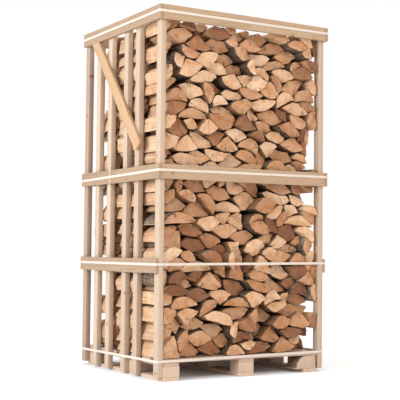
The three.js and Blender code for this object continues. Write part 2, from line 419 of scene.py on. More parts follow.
def heap(seed, width, top, area):
    """Stacks log ends in a frame of the given width, each dropped where it wastes least, thin ones last.

    For a log at a column, its resting height is the largest of (heap - lower edge), and the air is what is
    left between the two. The log and column with the least air / sqrt(area) + 1.2 * height - 10 * area win.
    """
    rng = np.random.default_rng(seed)
    surface = np.zeros(int(width // COLUMN))
    whole, thin = [], []
    for store, count, share in ((whole, WHOLE, 1.0), (thin, THIN, THIN_SHARE)):
        for _ in range(count):
            outline, turn = split_outline(rng, area * share)
            store.append((outline, turn) + profiles(outline))
    logs, store = [], whole
    for _ in range(MOST):
        best = None
        for k in rng.integers(0, len(store), PICKS):
            *_, lower, upper = store[k]
            under = sliding_window_view(surface, len(lower))
            rest = (under - lower).max(axis=1)
            air = (rest[:, None] + lower - under).sum(axis=1) * COLUMN
            covered = (upper - lower).sum() * COLUMN
            cost = air / math.sqrt(covered) + 1.2 * (rest + upper.mean()) - 10 * covered
            cost[rest + upper.max() > top + OVER] = np.inf
            i = int(np.argmin(cost))
            if np.isfinite(cost[i]) and (best is None or cost[i] < best[0]):
                best = (cost[i], k, i, rest[i])
        if best is None:
            if store is thin:
                break
            store = thin
            continue
        _, k, i, rest = best
        outline, turn, start, lower, upper = store[k]
        logs.append((outline + [i * COLUMN - start, rest], turn))
        span = slice(i, i + len(lower))
        surface[span] = np.maximum(surface[span], rest + upper + GAP)
    return logs


def covers(outline, x, z):
    """Which cells of a grid lie inside an outline, by counting crossings to the right."""
    x1, z1 = outline[:, 0][:, None, None], outline[:, 1][:, None, None]
    after = np.roll(outline, -1, axis=0)
    x2, z2 = after[:, 0][:, None, None], after[:, 1][:, None, None]
    across, up = x[None, None, :], z[None, :, None]
    crossed = ((z1 > up) != (z2 > up)) & (across < (x2 - x1) * (up - z1) / (z2 - z1 + 1e-12) + x1)
    return crossed.sum(axis=0) % 2 == 1


CELL = 0.003  # of the grid on which the heap settles
WALL = 0.07  # a log nearer than this to a side of the crate is pushed against it
GROWTHS = np.repeat((1.08, 1.05, 1.025), 5)  # what a log is scaled by at each try, the largest first


def settle(logs, seed, width, height):
    """Grows, shifts and turns each log a little, where the grid shows room, so that the heap packs tightly.

    A log near a side is first pushed against it. The first try that overlaps no more than one cell is kept.
    """
    rng = np.random.default_rng(seed)
    x = (np.arange(int(width / CELL)) + 0.5) * CELL
    z = (np.arange(int(height / CELL)) + 0.5) * CELL
    taken = np.zeros((len(z), len(x)), np.int16)

    def cells(outline):
        i = np.searchsorted(x, [outline[:, 0].min() - CELL, outline[:, 0].max() + CELL])
        j = np.searchsorted(z, [outline[:, 1].min() - CELL, outline[:, 1].max() + CELL])
        window = (slice(*j), slice(*i))
        return window, covers(outline, x[window[1]], z[window[0]])

    def free(window, mask):
        return (taken[window] * mask).sum() <= 1

    held = []
    for outline, turn in logs:
        window, mask = cells(outline)
        taken[window] += mask
        held.append((outline, turn, window, mask))
    for k in rng.permutation(len(held)):
        outline, turn, window, mask = held[k]
        taken[window] -= mask
        lowest, highest = outline[:, 0].min(), outline[:, 0].max()
        if lowest < WALL or highest > width - WALL:
            aside = outline + [0.002 - lowest if lowest < WALL else width - 0.002 - highest, 0]
            place = cells(aside)
            if free(*place):
                outline, held[k] = aside, (aside, turn, *place)
        centre = outline.mean(axis=0)
        for growth in GROWTHS:
            angle = rng.normal(0, 0.05)
            stretch = np.array([rng.uniform(0.97, 1.03), 1])
            tried = (outline - centre) @ turned(angle).T * growth * stretch + centre + rng.normal(0, 0.004, 2)
            (left, low), (right, high) = tried.min(axis=0), tried.max(axis=0)
            if left < 0.001 or right > width - 0.001 or low < 0 or high > height:
                continue
            place = cells(tried)
            if free(*place):
                held[k] = (tried, turn + angle, *place)
                break
        taken[held[k][2]] += held[k][3]
    return [(outline, turn) for outline, turn, _, _ in held]


LOG_RINGS = 6


def log_points(outline, front, back, reach, recess, bevel, rng):
    """One log's points: six rings from front to back, then the middle of each end.

    The first and last ring are drawn in by the bark's thickness, and the inner two wander by a millimetre or
    two. Both ends are planes with a small tilt, y += a (x - cx) + b (z - cz), roughened by 2.6 mm. They stand
    back by up to `reach`, and some by up to `recess` more.
    """
    centre = outline.mean(axis=0)
    radius = np.linalg.norm(outline - centre, axis=1)
    drawn = centre + (outline - centre) * (1 - bevel / radius)[:, None]
    taper = rng.uniform(0.955, 0.995)
    wander = rng.normal(0, 0.0012, (2, AROUND, 2)) + rng.normal(0, 0.001, (2, 1, 2))
    uneven = reach * rng.beta(1.3, 1.5, 2) + recess * np.clip(rng.uniform(-1.1, 1, 2), 0, 1) + 0.002
    start, end = front + uneven[0], back - uneven[1]
    length = end - start
    rings = np.stack([
        drawn,
        outline,
        centre + (outline - centre) * (1 - (1 - taper) / 3) + wander[0],
        centre + (outline - centre) * (1 - (1 - taper) * 2 / 3) + wander[1],
        centre + (outline - centre) * taper,
        centre + (drawn - centre) * taper,
    ])
    along = np.array([0, bevel, length / 3, length * 2 / 3, length - bevel, length]) + start
    tilt = np.clip(rng.normal(0, 0.085, (2, 2)), -0.15, 0.15)
    lean = (rings - centre) @ tilt.T  # (ring, point, end)
    share = (along - start) / length
    y = along[:, None] + lean[..., 0] * (1 - share)[:, None] + lean[..., 1] * share[:, None]
    y[:2] += rng.normal(0, 0.0026, AROUND)
    y[-2:] += rng.normal(0, 0.0026, AROUND)
    body = np.stack([rings[..., 0], y, rings[..., 1]], axis=-1).reshape(-1, 3)
    middles = [[centre[0], y[0].mean(), centre[1]], [centre[0], y[-1].mean(), centre[1]]]
    return np.vstack([body, middles])


MARGIN = 0.02  # of a log's cell of the map, round its long faces and round each end


def log_map(made, outline, fans, shares):
    """A log's map, in 0 to 1: its long faces unrolled below, its two ends side by side above.

    `shares` are the long faces' share of the height and the front end's share of the width.
    """
    below, front = shares
    around = np.arange(AROUND + 1) / AROUND
    along = np.r_[0, 0.03, 0.34, 0.66, 0.97, 1.0]
    u0, v0 = np.meshgrid(around[:-1], along[:-1])
    u1, v1 = np.meshgrid(around[1:], along[1:])
    side = np.stack([u0, v0, u1, v0, u1, v1, u0, v1], axis=-1).reshape(-1, 2)
    side = side * [1 - 2 * MARGIN, below - 2 * MARGIN] + MARGIN
    ends = (made[fans.ravel()][:, [0, 2]] - outline.min(axis=0)) / np.ptp(outline, axis=0)
    half = len(ends) // 2
    for part, start, width in ((slice(half), 0.0, front), (slice(half, None), front, 1 - front)):
        room = [width - 2 * MARGIN, 1 - below - 2 * MARGIN]
        ends[part] = ends[part] * room + [start + MARGIN, below + MARGIN]
    return np.vstack([side, ends])


END_FINISH, SPLIT_FINISH, BARK_FINISH = 0, 1, 2  # the materials of every stack


def stack_of_logs(logs, low_corner, high_corner, shown, settings, rng, shares):
    """Points, faces, materials, fields and map of a stack of logs, none of which leaves the row's box.

    A log that may be recessed, or whose end faces another row, is less uneven there than one in plain view.
    """
    quads, fans = middled_tube(LOG_RINGS, AROUND)
    size = LOG_RINGS * AROUND + 2
    columns = int(math.ceil(math.sqrt(len(logs) * 0.8)))
    lines = int(math.ceil(len(logs) / columns))
    points, faces, slots, maps = [], [], [], []
    fields = {"pith": [], "grain": [], "tone": [], "inner": []}
    for number, (outline, turn, pith, recess, inner) in enumerate(logs):
        reach = np.where(recess > 0, 0.3, np.where(shown, 1.0, 0.4)) * settings.jitter
        made = log_points(outline, low_corner[1], high_corner[1], reach, recess, settings.bevel, rng)
        made = np.clip(made, low_corner, high_corner)
        points.append(made)
        faces += (quads + number * size).tolist() + (fans + number * size).tolist()

        # Bark on the arc, split wood on the flanks, sawn wood on the ends and in the split edges' bevels.
        barked = np.full(AROUND, SPLIT_FINISH)
        if rng.random() < 0.25 + 0.5 * inner:
            barked[:ARC] = BARK_FINISH
        bevelled = np.where(barked == BARK_FINISH, BARK_FINISH, END_FINISH)
        slots += [bevelled, np.tile(barked, LOG_RINGS - 3), bevelled, np.full(2 * AROUND, END_FINISH)]

        seed = rng.uniform(0, 60)
        fields["pith"].append(np.c_[(made[:, [0, 2]] - pith) @ turned(turn), np.full(size, seed)])
        fields["grain"].append(made + [seed, 0, seed * 0.7])
        # The inner field paints shade on the split faces and bark of logs deep in the heap.
        fields["inner"].append(np.full(size, inner))
        # Logs below 1.4 m get painted shade: their tone is lowered the nearer they lie to the floor.
        fields["tone"].append(np.full(size, rng.beta(1.5, 1.3) - 0.1 * max(0.0, 1.4 - outline[:, 1].mean())))
        cell = np.array([number % columns, number // columns])
        maps.append((log_map(made, outline, fans, shares) + cell) / [columns, lines])
    fields = {key: np.concatenate(values) for key, values in fields.items()}
    return np.vstack(points), faces, np.concatenate(slots), fields, np.vstack(maps)


# ---------------------------------------------------------------- finishes


class Finish:
    """A node material. Each call adds a node: an input that is a socket is linked, anything else is set."""

    def __init__(self, name):
        self.material = bpy.data.materials.new(name)
        self.material.use_nodes = True
        self.tree = self.material.node_tree
        self.tree.nodes.clear()

    def node(self, kind, inputs=None, **settings):
        made = self.tree.nodes.new("ShaderNode" + kind)
        for key, value in settings.items():
            setattr(made, key, value)
        for key, value in (inputs or {}).items():
            if isinstance(value, bpy.types.NodeSocket):
                self.tree.links.new(value, made.inputs[key])
            else:
                made.inputs[key].default_value = value
        return made

    def field(self, name, output="Vector"):
        return self.node("Attribute", attribute_name=name, attribute_type="GEOMETRY").outputs[output]

    def maths(self, operation, a, b=0.0, c=0.0):
        return self.node("Math", {0: a, 1: b, 2: c}, operation=operation).outputs[0]

    def stretched(self, vector, scale):
        return self.node("VectorMath", {0: vector, 1: scale}, operation="MULTIPLY").outputs[0]

    def length(self, vector):
        return self.node("VectorMath", {0: vector}, operation="LENGTH").outputs["Value"]

    def noise(self, vector, scale=1.0, detail=2.0, rough=0.5):
        inputs = {"Vector": vector, "Scale": scale, "Detail": detail, "Roughness": rough}
        return self.node("TexNoise", inputs).outputs[0]

    def ramp(self, factor, stops):
        """Stops are (place, colour or grey)."""
        made = self.node("ValToRGB", {0: factor})
        elements = made.color_ramp.elements
        while len(elements) < len(stops):
            elements.new(0.5)
        for element, (place, colour) in zip(elements, stops):
            element.position = place
            element.color = (*((colour,) * 3 if isinstance(colour, float) else colour), 1.0)
        return made.outputs[0]

    def mix(self, factor, a, b, blend="MIX"):
        made = self.node("Mix", data_type="RGBA", blend_type=blend)
        for index, value in ((0, factor), (6, a), (7, b)):
            if isinstance(value, bpy.types.NodeSocket):
                self.tree.links.new(value, made.inputs[index])
            else:
                made.inputs[index].default_value = value if index == 0 else (*value, 1.0)
        return made.outputs[2]

    def tinted(self, factor, base, tint):
        """The base, multiplied by the tint where the factor is 1."""
        return self.mix(factor, base, self.mix(1.0, base, tint, "MULTIPLY"))

    def done(self, colour, roughness, height=None, depth=0.001, strength=0.6, **shader):
        """Joins the shader. height is in 0 to 1, and depth is what 1 stands for, in metres."""
        inputs = {"Base Color": colour, "Roughness": roughness}
        inputs.update({key.replace("_", " "): value for key, value in shader.items()})
        if height is not None:
            bump = self.node("Bump", {"Height": height, "Distance": depth, "Strength": strength})
            inputs["Normal"] = bump.outputs[0]
        principled = self.node("BsdfPrincipled", inputs)
        self.node("OutputMaterial", {"Surface": principled.outputs[0]})
        return self.material


def sawn_wood(name, body, line, knot):
    """Sawn wood from its place in the tree: rings about the pith, fibres along the board, a few knots.

    The tone darkens a board, from 1 for none to 0 for the most.
    """
    f = Finish(name)
    grain = f.field("grain")
    tone = f.field("tone", "Fac")
    spots = f.node("TexVoronoi", {"Vector": grain, "Scale": 3.0}, voronoi_dimensions="2D")
    near = f.maths("MULTIPLY", spots.outputs["Distance"], 0.333)  # metres to the nearest knot's middle
    swell = f.ramp(near, [(0.0, 1.0), (0.008, 0.75), (0.035, 0.0)])
    wander = f.noise(f.stretched(grain, (1.3, 9.0, 9.0)), 1.0, 3.0)
    radius = f.length(f.stretched(grain, (0.0, 1.0, 1.0)))
    bent = f.maths("ADD", radius, f.maths("MULTIPLY", wander, 0.03))
    bent = f.maths("ADD", bent, f.maths("MULTIPLY", swell, 0.012))
    rings = f.maths("FRACT", f.maths("MULTIPLY", bent, 210.0))
    late = f.ramp(rings, [(0.0, 0.1), (0.55, 0.25), (0.86, 1.0), (1.0, 0.1)])
    fibre = f.noise(f.stretched(grain, (14.0, 620.0, 620.0)), 1.0, 4.0, 0.6)
    broad = f.noise(f.stretched(grain, (2.0, 16.0, 16.0)), 1.0, 3.0)
    base = f.mix(f.maths("MULTIPLY", late, 0.62), body, line)
    base = f.mix(f.ramp(fibre, [(0.32, 1.0), (0.6, 0.0)]), base, f.mix(0.5, base, line))
    base = f.mix(f.ramp(broad, [(0.3, 0.0), (0.75, 0.55)]), base, f.mix(0.6, base, line))
    base = f.mix(tone, f.mix(1.0, base, (0.72, 0.68, 0.69), "MULTIPLY"), base)
    base = f.mix(f.ramp(near, [(0.0, 1.0), (0.0045, 0.9), (0.0075, 0.25), (0.016, 0.0)]), base, knot)
    height = f.mix(0.35, fibre, late)
    return f.done(base, f.ramp(fibre, [(0.2, 0.82), (0.8, 0.66)]), height, 0.0007, 0.55)


def sawn_end(s):
    """A log's sawn end: rings and rays about the pith, a darker heart, stains, cracks and saw marks."""
    f = Finish("sawn_log_end")
    pith = f.field("pith")
    tone = f.field("tone", "Fac")
    grain = f.field("grain")
    part = f.node("SeparateXYZ", {0: pith}).outputs
    angle = f.maths("ARCTAN2", part[0], part[1])
    radius = f.length(f.stretched(pith, (1.0, 1.0, 0.0)))
    cloud = f.noise(pith, 28.0, 3.0)
    polar = f.node("CombineXYZ", {0: angle, 1: f.maths("MULTIPLY", radius, 9.0), 2: part[2]}).outputs[0]
    rays = f.noise(f.stretched(polar, (26.0, 1.0, 1.0)), 1.0, 3.0, 0.6)
    uneven = f.maths("ADD", radius, f.maths("MULTIPLY", cloud, 0.006))
    rings = f.maths("SINE", f.maths("MULTIPLY", uneven, 1900.0))
    ring = f.maths("MULTIPLY_ADD", rings, 0.5, 0.5)
    split = f.noise(f.stretched(polar, (2.3, 0.35, 1.0)), 1.0, 1.0)
    away = f.maths("ABSOLUTE", f.maths("SUBTRACT", split, 0.5))
    crack = f.ramp(away, [(0.0, 0.95), (0.006, 0.7), (0.014, 0.0)])
    crack = f.maths("MULTIPLY", crack, f.ramp(f.noise(pith, 17.0, 1.0), [(0.5, 0.0), (0.6, 1.0)]))
    saw = f.noise(f.stretched(grain, (60.0, 0.0, 420.0)), 1.0, 2.0)
    tones = zip((0.0, 0.3, 0.62, 1.0), (s.end_dark, s.end_warm, s.end_peach, s.end_pale))
    base = f.ramp(tone, [(place, tuple(colour)) for place, colour in tones])
    base = f.tinted(f.maths("MULTIPLY", ring, 0.22), base, (0.70, 0.58, 0.46))
    base = f.tinted(f.ramp(rays, [(0.35, 0.4), (0.62, 0.0)]), base, (0.72, 0.60, 0.50))
    heart = f.ramp(f.maths("ADD", radius, f.maths("MULTIPLY", cloud, 0.05)), [(0.03, 0.55), (0.062, 0.0)])
    base = f.tinted(heart, base, (0.78, 0.62, 0.48))
    base = f.tinted(f.ramp(cloud, [(0.35, 0.5), (0.6, 0.0)]), base, (0.82, 0.72, 0.62))
    stain = f.noise(pith, 11.0, 2.0)
    base = f.tinted(f.ramp(stain, [(0.45, 0.0), (0.66, 0.8)]), base, (0.86, 0.70, 0.50))
    base = f.mix(crack, base, (0.09, 0.05, 0.028))
    height = f.mix(0.5, f.mix(0.5, rays, saw), f.maths("SUBTRACT", 1.0, crack))
    return f.done(base, 0.82, height, 0.0022, 0.9)


def split_face(s):
    """Wood torn along its fibres: long streaks, ridges and paler patches, with painted shade on the logs deep
    in the heap.
    """
    f = Finish("split_log_face")
    grain = f.field("grain")
    tone = f.field("tone", "Fac")
    fibre = f.noise(f.stretched(grain, (260.0, 5.0, 260.0)), 1.0, 5.0, 0.62)
    ridge = f.noise(f.stretched(grain, (70.0, 3.0, 70.0)), 1.0, 3.0)
    patch = f.noise(grain, 16.0, 3.0)
    base = f.mix(f.ramp(fibre, [(0.32, 1.0), (0.62, 0.0)]), tuple(s.split), tuple(s.split_line))
    base = f.mix(f.ramp(ridge, [(0.35, 0.6), (0.6, 0.0)]), base, tuple(s.split_line))
    base = f.mix(f.ramp(patch, [(0.4, 0.0), (0.7, 0.5)]), base, tuple(s.end_pale))
    base = f.mix(tone, f.mix(1.0, base, (0.78, 0.70, 0.62), "MULTIPLY"), base)
    # Painted shade: the split faces of logs away from the crate's sides and top are darkened where the heap
    # shades them.
    base = f.tinted(f.field("inner", "Fac"), base, (0.42, 0.34, 0.26))
    return f.done(base, 0.86, f.mix(0.5, fibre, ridge), 0.003, 0.8)


def bark(s):
    """Grey-brown bark: long ridges broken across, deep fissures and pale patches, with painted shade on the
    logs deep in the heap.
    """
    f = Finish("log_bark")
    grain = f.field("grain")
    ridge = f.noise(f.stretched(grain, (120.0, 22.0, 120.0)), 1.0, 5.0, 0.65)
    plates = f.node("TexVoronoi", {"Vector": f.stretched(grain, (70.0, 18.0, 70.0)), "Scale": 1.0},
                    feature="DISTANCE_TO_EDGE").outputs["Distance"]
    patch = f.noise(grain, 22.0, 3.0)
    base = f.mix(f.ramp(ridge, [(0.35, 0.0), (0.62, 1.0)]), tuple(s.bark_deep), tuple(s.bark))
    base = f.mix(f.ramp(patch, [(0.5, 0.0), (0.72, 0.55)]), base, shade(168, 156, 142))
    base = f.mix(f.ramp(plates, [(0.0, 0.8), (0.09, 0.0)]), base, tuple(s.bark_deep))
    # Painted shade on the bark of logs deep in the heap.
    base = f.tinted(f.field("inner", "Fac"), base, (0.5, 0.42, 0.34))
    height = f.mix(0.5, ridge, f.ramp(plates, [(0.0, 0.0), (0.25, 1.0)]))
    return f.done(base, 0.92, height, 0.004, 0.9)


def embossed_strap(s):
    """Embossed plastic band: a fine lattice of grooves along and across it with painted shade in the grooves,
    slightly clouded.
    """
    f = Finish("embossed_strap")
    place = f.node("SeparateXYZ", {0: f.field("band")}).outputs
    plus = f.maths("SINE", f.maths("MULTIPLY", f.maths("ADD", place[0], place[1]), 1900.0))
    minus = f.maths("SINE", f.maths("MULTIPLY", f.maths("SUBTRACT", place[0], place[1]), 1900.0))
    lattice = f.maths("MAXIMUM", plus, minus)
    cloud = f.noise(f.field("band"), 30.0, 3.0)
    groove = f.ramp(lattice, [(0.2, 1.0), (0.8, 0.0)])
    # Painted shade in the grooves: they take half of the groove colour.
    base = f.mix(f.maths("MULTIPLY", groove, 0.5), tuple(s.colour), tuple(s.groove))
    base = f.mix(f.ramp(cloud, [(0.4, 0.0), (0.7, 0.3)]), base, tuple(s.groove))
    return f.done(base, f.ramp(cloud, [(0.3, 0.32), (0.7, 0.48)]), lattice, 0.0002, 0.6)


def nail_steel(s):
    """Dull steel with a little rust."""
    f = Finish("nail_steel")
    place = f.node("TexCoord").outputs["Object"]
    rust = f.noise(place, 420.0, 3.0)
    base = f.mix(f.ramp(rust, [(0.42, 0.0), (0.6, 1.0)]), tuple(s.nail), shade(112, 66, 38))
    return f.done(base, f.ramp(rust, [(0.3, 0.4), (0.7, 0.8)]), rust, 0.0002, 0.5, Metallic=0.6)


UNLIT = (0.55, 0.48)  # half the width and depth of the floor under the crate, which doesn't glow: a painted shadow under the crate


def floor_paint(s):
    """Matt pale floor with the faintest mottling, lifted by a glow that stops short of the crate's foot,
    leaving a painted shadow under the crate.
    """
    f = Finish("studio_floor")
    place = f.node("TexCoord").outputs["Object"]
    speck = f.noise(place, 3.0, 2.0)
    part = f.node("SeparateXYZ", {0: place}).outputs
    beyond = [f.maths("SUBTRACT", f.maths("ABSOLUTE", part[axis]), half) for axis, half in enumerate(UNLIT)]
    glow = f.ramp(f.maths("MAXIMUM", *beyond), [(0.0, 0.0), (0.1, 1.0)])
    pale = tuple(s.floor)
    base = f.mix(speck, pale, tuple(c * 0.985 for c in pale))
    return f.done(base, 0.9, Emission_Color=glow, Emission_Strength=0.17)


def finish_named(name, make):
    """A finish that is already there, or a new one."""
    return bpy.data.materials.get(name) or make()


# ---------------------------------------------------------------- operators


class PieceOperator(bpy.types.Operator):
    """What every piece of the crate shares."""

    bl_options = {"REGISTER", "UNDO"}

    @staticmethod
    def timber(context, key):
        """The finish of pale, rail, brace or pallet wood."""
        s = context.scene.firewood_timber
        body, line = getattr(s, key), getattr(s, key + "_line")
        name = f"sawn_{key}_wood"
        return finish_named(name, lambda: sawn_wood(name, tuple(body), tuple(line), tuple(s.knot)))

    def bar(self, context, node, along, finish, slot, seed, bow=1.0, lean=0.0, tone=None):
        """A sawn bar in place of a node, of a random tone if none is given."""
        s = context.scene.firewood_timber
        low, high = box_of(node)
        points, faces, grain = sawn_bar(low, high, along, seed, s.edge, s.bow * bow, lean)
        if tone is None:
            tone = np.random.default_rng(seed + 900).uniform(0.5, 1.0)
        fields = {"grain": grain, "tone": np.full(len(points), tone)}
        piece = new_piece(f"{node}_sawn", points, facing_out(points, faces), [finish], fields=fields)
        return stand_for(piece, node)


class AddUprights(PieceOperator):
    """Add the posts and slats of both side panels"""

    bl_idname = "firewood.add_uprights"
    bl_label = "Posts and slats"

    LEANS = (0.0, 0.003, -0.002, 0.002, -0.003, 0.0)  # how far out of upright each batten of a side is

    def execute(self, context):
        finish = self.timber(context, "pale")
        for i, side in enumerate(SIDES):
            for j, batten in enumerate(BATTENS):
                lean = self.LEANS[j] * (1 - 2 * i)
                tone = 0.0 if batten == "back_post" else None
                seed = 20 + i * 10 + j
                self.bar(context, f"{side}_{batten}", 2, finish, "pale_wood", seed, 0.6, lean, tone)
        return {"FINISHED"}


class AddRails(PieceOperator):
    """Add the rails round the crate"""

    bl_idname = "firewood.add_rails"
    bl_label = "Rails"

    def execute(self, context):
        finish = self.timber(context, "rail")
        for i, side in enumerate(SIDES):
            for j, level in enumerate(("top", "middle", "lower")):
                self.bar(context, f"{side}_{level}_rail", 1, finish, "rail_wood", 60 + i * 10 + j, tone=0.45)
        for i, face in enumerate(("front", "back")):
            for j, level in enumerate(("top", "middle")):
                self.bar(context, f"{face}_{level}_rail", 0, finish, "rail_wood", 80 + i * 10 + j, tone=0.95)
        return {"FINISHED"}


class AddBraces(PieceOperator):
    """Add the sloping brace on each side"""

    bl_idname = "firewood.add_braces"
    bl_label = "Braces"

    def execute(self, context):
        finish = self.timber(context, "brace")
        s = context.scene.firewood_timber
        for i, side in enumerate(SIDES):
            node = f"{side}_brace"
            low, high = box_of(node)
            points, faces, grain = sloping_board(low, high, s.edge, i)
            fields = {"grain": grain, "tone": np.full(len(points), 0.8)}
            piece = new_piece(f"{node}_sawn", points, facing_out(points, faces), [finish], fields=fields)
            stand_for(piece, node)
        return {"FINISHED"}


class AddPallet(PieceOperator):
    """Add the skids, blocks, stringers and deck boards"""

    bl_idname = "firewood.add_pallet"
    bl_label = "Pallet"

    DECK_BOARDS = 7

    def execute(self, context):
        finish = self.timber(context, "pallet")
        nodes = [f"pallet_skid_{column}" for column in COLUMNS]
        nodes += [f"pallet_stringer_{column}" for column in COLUMNS]
        nodes += [f"pallet_block_{row}_{column}" for row in ROWS for column in COLUMNS]
        for i, node in enumerate(nodes):
            if node != "pallet_block_front_right":
                # Painted shade under the deck: the stringers get a dark fixed tone.
                tone = 0.15 if "stringer" in node else None
                self.bar(context, node, 1, finish, "pallet_wood", 100 + i, 0.4, tone=tone)
        for i in range(self.DECK_BOARDS):
            # Painted shade under the load: the deck boards get a dark fixed tone.
            self.bar(context, f"pallet_deck_board_{i + 1}", 0, finish, "pallet_wood", 130 + i, 0.4, tone=0.15)
        self.waney_block(context, "pallet_block_front_right", finish)
        return {"FINISHED"}

    def waney_block(self, context, node, finish):
        """The block cut from a log: a flat foot and inner side, and the bark round its upper outer edge.

        The outline is the box's foot, right side and top, closed by r = 73 mm of bark with a ripple of 1 mm.
        It is carried from front to back in four rings.
        """
        s = context.scene.firewood_timber
        low, high = box_of(node)
        radius, edge = 0.073, s.edge
        t = np.radians(np.linspace(90, 180, 15))
        ripple = radius + 0.001 * np.sin(t * 19) - 0.001
        arc = np.c_[low[0] + radius + ripple * np.cos(t), high[2] - radius + ripple * np.sin(t)]
        flats = np.array([[low[0] + 0.001, low[2]], [high[0], low[2]], [high[0], high[2]]])
        outline = np.vstack([arc, flats])
        centre = outline.mean(axis=0)
        inner = centre + (outline - centre) * 0.95
        rings = [(low[1], inner), (low[1] + edge, outline), (high[1] - edge, outline), (high[1], inner)]
        points = np.vstack([np.c_[ring[:, 0], np.full(len(ring), y), ring[:, 1]] for y, ring in rings])
        pith = np.array([high[0] - 0.05, low[2] + 0.004])
        grain = np.c_[points[:, 1] + 9.3, points[:, 0] - pith[0], points[:, 2] - pith[1]]
        faces = facing_out(points, tube_faces(4, len(outline)))
        # The bark is on the faces between two points of the arc.
        n = len(outline)
        on_arc = [len(face) == 4 and max(corner % n for corner in face) < len(arc) for face in faces]
        barked = finish_named("log_bark", lambda: bark(context.scene.firewood_logs))
        fields = {"grain": grain, "tone": np.full(len(points), 0.35)}
        piece = new_piece(f"{node}_sawn", points, faces, [finish, barked], on_arc, fields)
        stand_for(piece, node)


class AddLogs(PieceOperator):
    """Stack the split logs in three rows from front to back"""

    bl_idname = "firewood.add_logs"
    bl_label = "Split logs"

    SPARE = 0.024  # how much lower the heap is before it settles
    OPEN_FRONT = (0.09, 0.17)  # how near a log is to an open front corner, and how far back it may then stand
    OPEN_BACK = (0.12, 0.24)  # the same at the back

    def execute(self, context):
        s = context.scene.firewood_logs
        finishes = [
            finish_named("sawn_log_end", lambda: sawn_end(s)),
            finish_named("split_log_face", lambda: split_face(s)),
            finish_named("log_bark", lambda: bark(s)),
        ]
        for r, row in enumerate(ROWS):
            boxes = [box_of(f"firewood_{row}_{stack}") for stack in STACKS]
            left, right = boxes[0][0][0], boxes[-1][1][0]
            floor = boxes[0][0][2]
            height = np.mean([high[2] for _, high in boxes]) - floor
            logs = heap(s.seed + r, right - left, height - self.SPARE, s.area)
            logs = settle(logs, s.seed + 50 + r, right - left, height)
            highest = floor + max(outline[:, 1].max() for outline, _ in logs)
            corners = boxes[0][0], np.array([right, boxes[0][1][1], highest + 0.002])
            self.add_row(row, logs, corners, finishes, s, r)
        return {"FINISHED"}

    def add_row(self, row, logs, corners, finishes, s, r):
        """Joins a row's logs by stack, each in the stack that its middle is in.

        `inner` is 0 for a log within 20 mm of a side or of the top and 1 for one more than 70 mm from them.
        It sets the painted shade on the split faces and bark, and how often a log has bark.
        """
        rng = np.random.default_rng(s.seed + 100 + r)
        (left, _, floor), (right, _, top) = corners
        placed = [[] for _ in STACKS]
        for outline, turn in logs:
            outline = outline + [left, floor]
            # The pith lies on the axis of the arc, where the two split faces would meet.
            crown = outline[ARC // 2]
            towards = crown - (outline[0] + outline[ARC]) / 2
            radius = 0.5 * np.linalg.norm(outline[0] - outline[ARC])
            pith = crown - towards / max(np.linalg.norm(towards), 1e-6) * radius
            (lowest_x, _), (highest_x, highest_z) = outline.min(axis=0), outline.max(axis=0)
            walls = min(lowest_x - left, right - highest_x, top - highest_z)
            inner = min(1.0, max(0.0, (walls - 0.02) / 0.05))
            middle = outline[:, 0].mean()
            recess = self.recess(row, middle - left, right - middle)
            stack = min(2, int((middle - left) / (right - left) * 3))
            placed[stack].append((outline, turn, pith, recess, inner))
        shown = np.array([row == "front", row == "back"])
        shares = (0.46, 0.42 if row == "back" else 0.6)  # the more room on the map for the ends that show
        for stack, chosen in zip(STACKS, placed):
            points, faces, slots, fields, uv = stack_of_logs(chosen, *corners, shown, s, rng, shares)
            node = f"firewood_{row}_{stack}"
            piece = new_piece(f"{node}_logs", points, faces, finishes, slots, fields, uv, 40.0)
            stand_for(piece, node)

    @staticmethod
    def recess(row, from_left, from_right):
        """How far a log may stand back at its front and back end: logs beside the open corners stop short."""
        near, back = AddLogs.OPEN_FRONT
        at_front = back if row == "front" and from_right < near else 0.0
        near, back = AddLogs.OPEN_BACK
        at_back = back if row == "back" and min(from_left, from_right) < near else 0.0
        return np.array([at_front, at_back])


